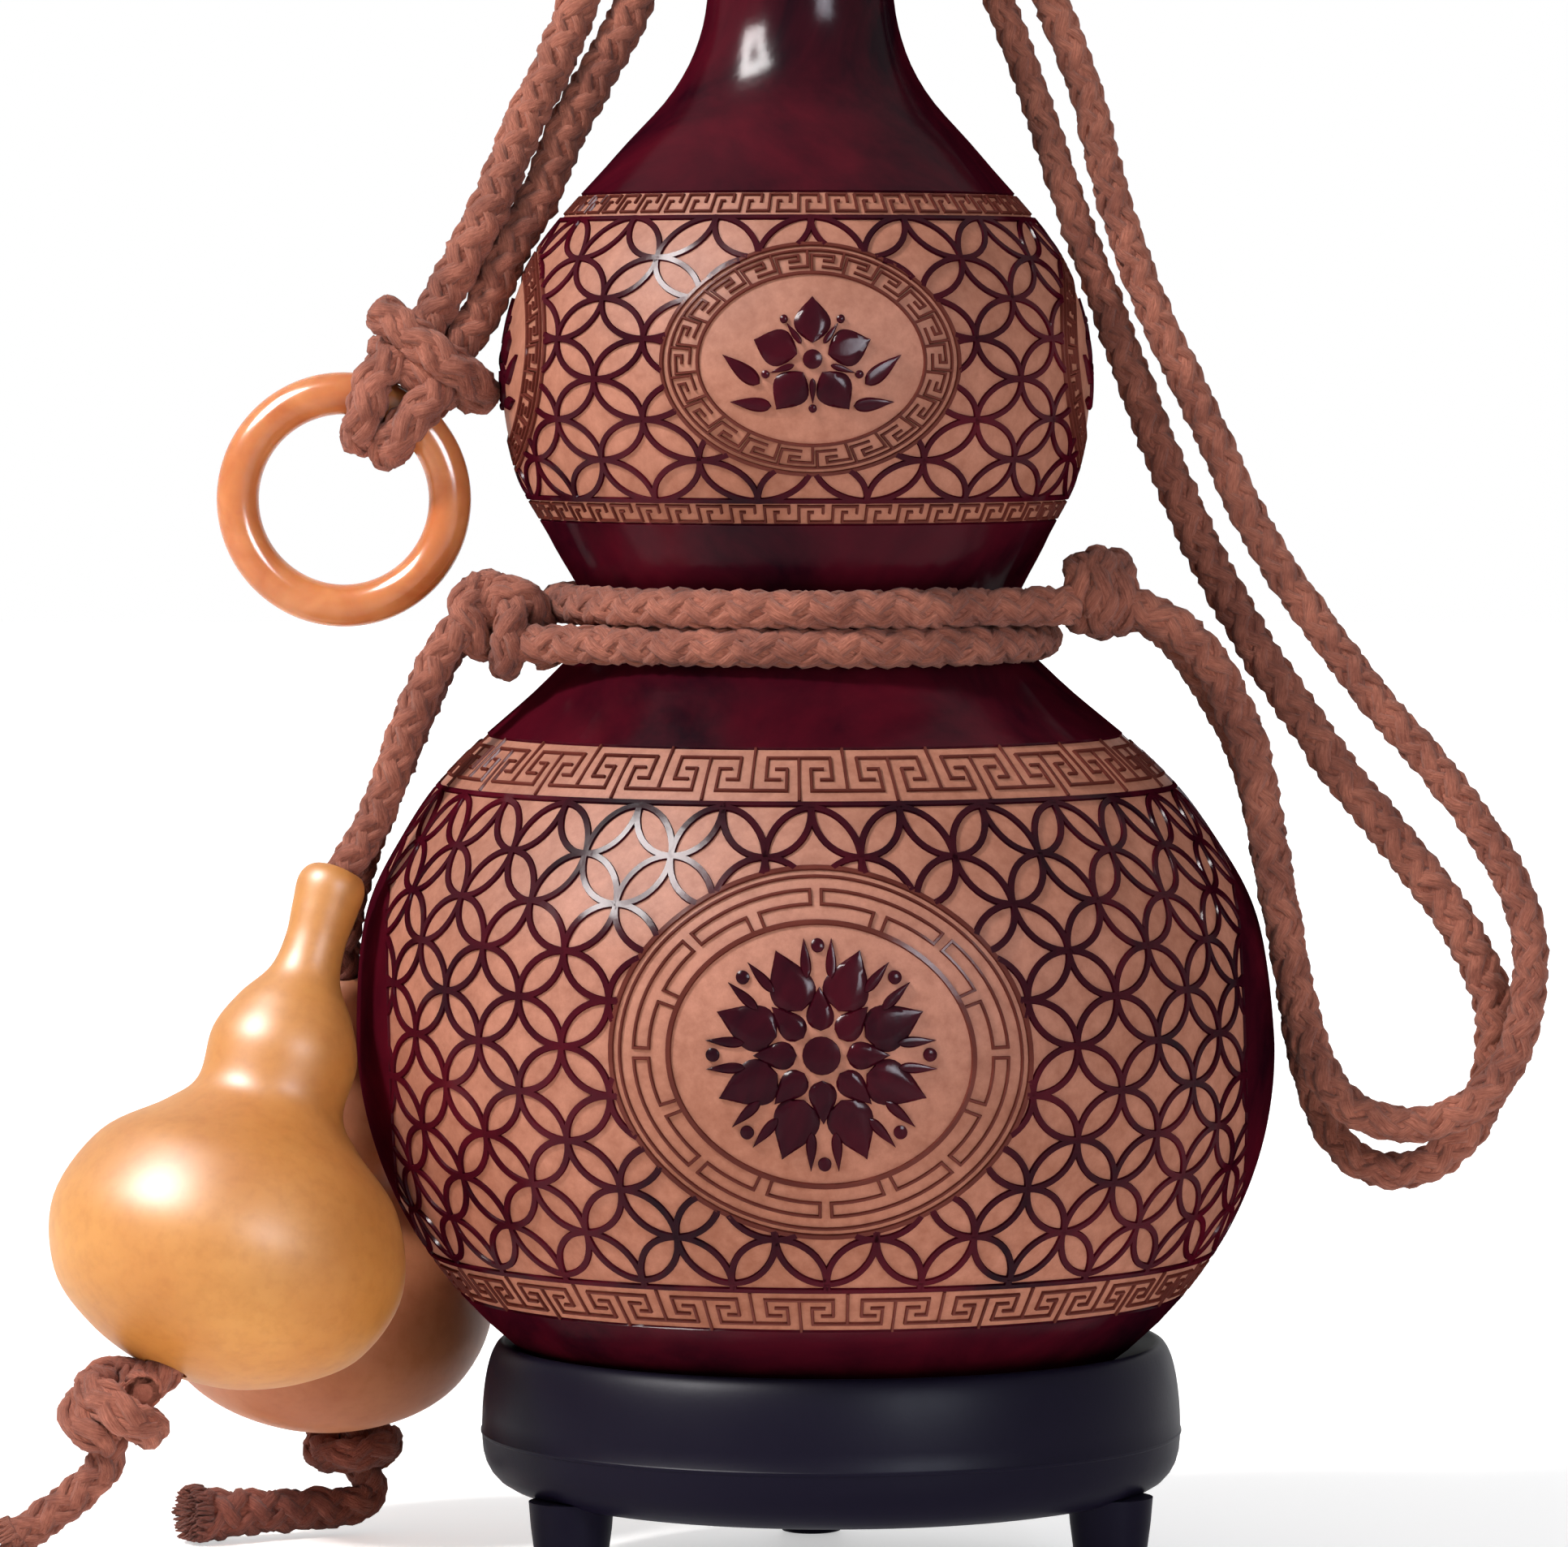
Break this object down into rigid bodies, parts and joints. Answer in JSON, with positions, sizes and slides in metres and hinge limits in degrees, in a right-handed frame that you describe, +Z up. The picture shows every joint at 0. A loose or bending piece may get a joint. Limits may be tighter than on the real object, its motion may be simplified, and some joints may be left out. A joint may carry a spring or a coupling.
{
  "type": "gourd bottle",
  "caption": "Lacquered and carved double-gourd bottle on a black three-legged stand, with a stopper, a brown cord strap with a ring, and small gourd pendants.",
  "frame": {"origin": "on the floor under the middle of the gourd's lower bulb, the bottle standing on its stand", "axes": "+Z up along the bottle, -Y towards the carved front, +X towards the side where the strap hangs"},
  "size_m": [0.2121, 0.1284, 0.2783],
  "materials": {
    "lacquer": "dark red gloss lacquer over dried gourd, carved ground tan and matt",
    "black_plastic": "satin moulded",
    "dark_wood": "turned and lacquered",
    "cork": "bare cork",
    "silicone": "soft matt",
    "cotton": "braided cotton cord",
    "amber_resin": "polished cast resin",
    "gourd_skin": "polished dried gourd skin"
  },
  "bodies": {
    "stand": {"stand": "black_plastic"},
    "bottle": {"gourd_shell": "lacquer", "mouth_collar": "dark_wood", "waist_cord": "cotton", "strap_knot": "cotton", "pendant_knot": "cotton", "strap_outer_cord": "cotton", "strap_inner_cord": "cotton", "ring_knot": "cotton"},
    "stopper": {"stopper_plug": "cork", "stopper_cap": "dark_wood", "upper_seal": "silicone", "lower_seal": "silicone"},
    "ring": {"ring": "amber_resin"},
    "front_pendant": {"front_pendant_cord": "cotton", "front_small_gourd": "gourd_skin", "front_end_knot": "cotton", "front_tail": "cotton"},
    "rear_pendant": {"rear_pendant_cord": "cotton", "rear_small_gourd": "gourd_skin", "rear_end_knot": "cotton", "rear_tail": "cotton"}
  },
  "joints": [
    {"name": "bottle_lift", "type": "slide", "parent": "stand", "child": "bottle", "axis": [0, 0, 1], "range_m": [0, 0.04]},
    {"name": "stopper_lift", "type": "slide", "parent": "bottle", "child": "stopper", "axis": [0, 0, 1], "range_m": [0, 0.03]},
    {"name": "ring_turn", "type": "hinge", "parent": "bottle", "child": "ring", "pos_m": [-0.0656, -0.0046, 0.151], "axis": [0, 1, 0], "continuous": true},
    {"name": "front_swing", "type": "hinge", "parent": "bottle", "child": "front_pendant", "pos_m": [-0.0509, -0.0166, 0.1314], "axis": [-0.436, 0.9, 0], "range_deg": [0, 40]},
    {"name": "rear_swing", "type": "hinge", "parent": "bottle", "child": "rear_pendant", "pos_m": [-0.0513, -0.0075, 0.1298], "axis": [0.66, 0.7513, 0], "range_deg": [0, 40]}
  ]
}
